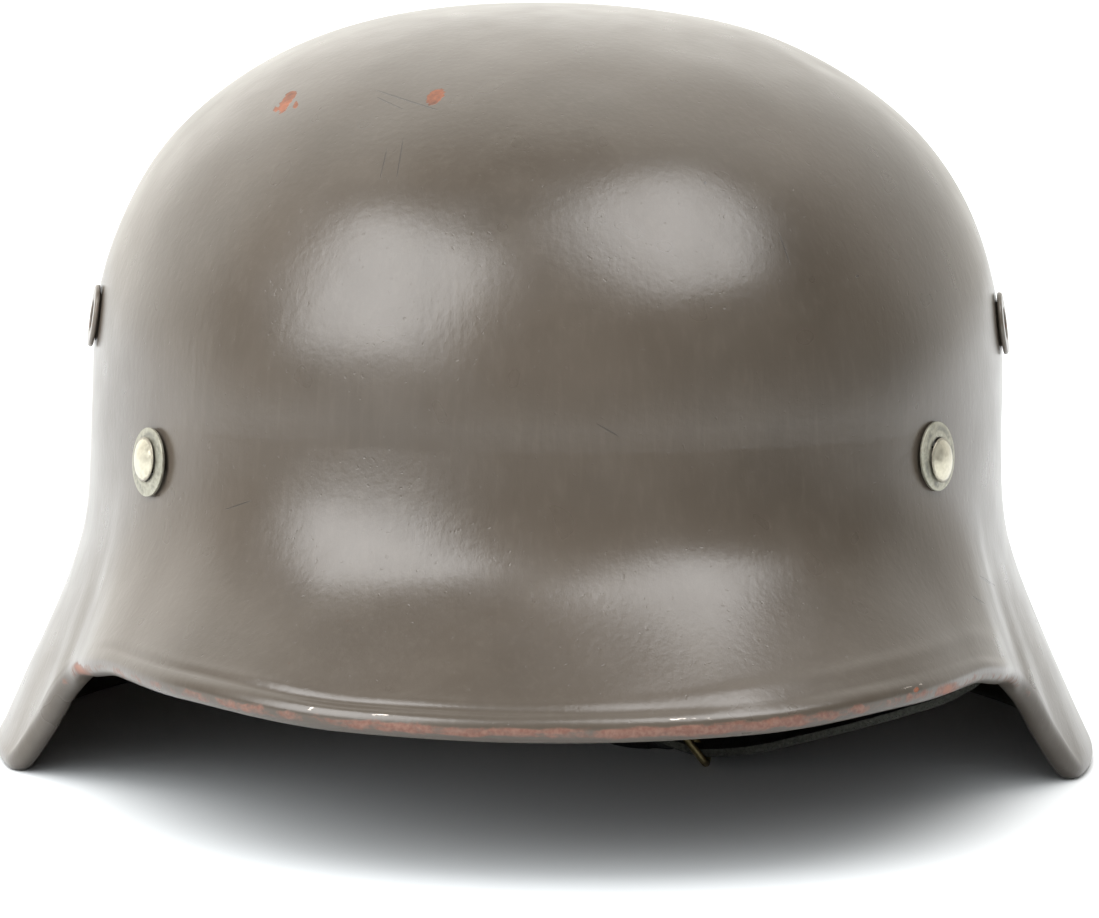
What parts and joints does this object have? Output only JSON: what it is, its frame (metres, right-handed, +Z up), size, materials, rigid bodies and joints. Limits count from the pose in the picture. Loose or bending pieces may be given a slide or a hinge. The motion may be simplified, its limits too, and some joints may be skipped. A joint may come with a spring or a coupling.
{
  "type": "steel helmet",
  "caption": "Pressed steel helmet with a flared skirt, short visor, rolled rim, side vents, washered liner rivets and a buckled leather chin strap; the bowl is empty.",
  "frame": {"origin": "middle of the footprint, on the surface that the rim stands on", "axes": "+Z up through the crown, -Y towards the visor, +X towards the wearer's left side"},
  "size_m": [0.2404, 0.3014, 0.163],
  "materials": {
    "shell_paint": "semi-gloss grey brown paint with orange peel, rust chips and a rubbed rim",
    "vent_paint": "painted like the shell, rusty at its edge",
    "washer_steel": "dull greenish grey steel with worn paint",
    "rivet_metal": "warm worn nickel plating",
    "lug_steel": "dull dark steel",
    "strap_leather": "black grained leather with a grey cut edge",
    "buckle_brass": "tarnished brass wire"
  },
  "bodies": {
    "root": {"shell": "shell_paint", "washer_left": "washer_steel", "washer_right": "washer_steel", "washer_rear": "washer_steel", "rivet_left": "rivet_metal", "rivet_right": "rivet_metal", "rivet_rear": "rivet_metal", "vent_left": "vent_paint", "vent_right": "vent_paint", "strap_lug_left": "lug_steel", "strap_lug_right": "lug_steel", "chin_strap": "strap_leather", "buckle": "buckle_brass"}
  },
  "joints": []
}
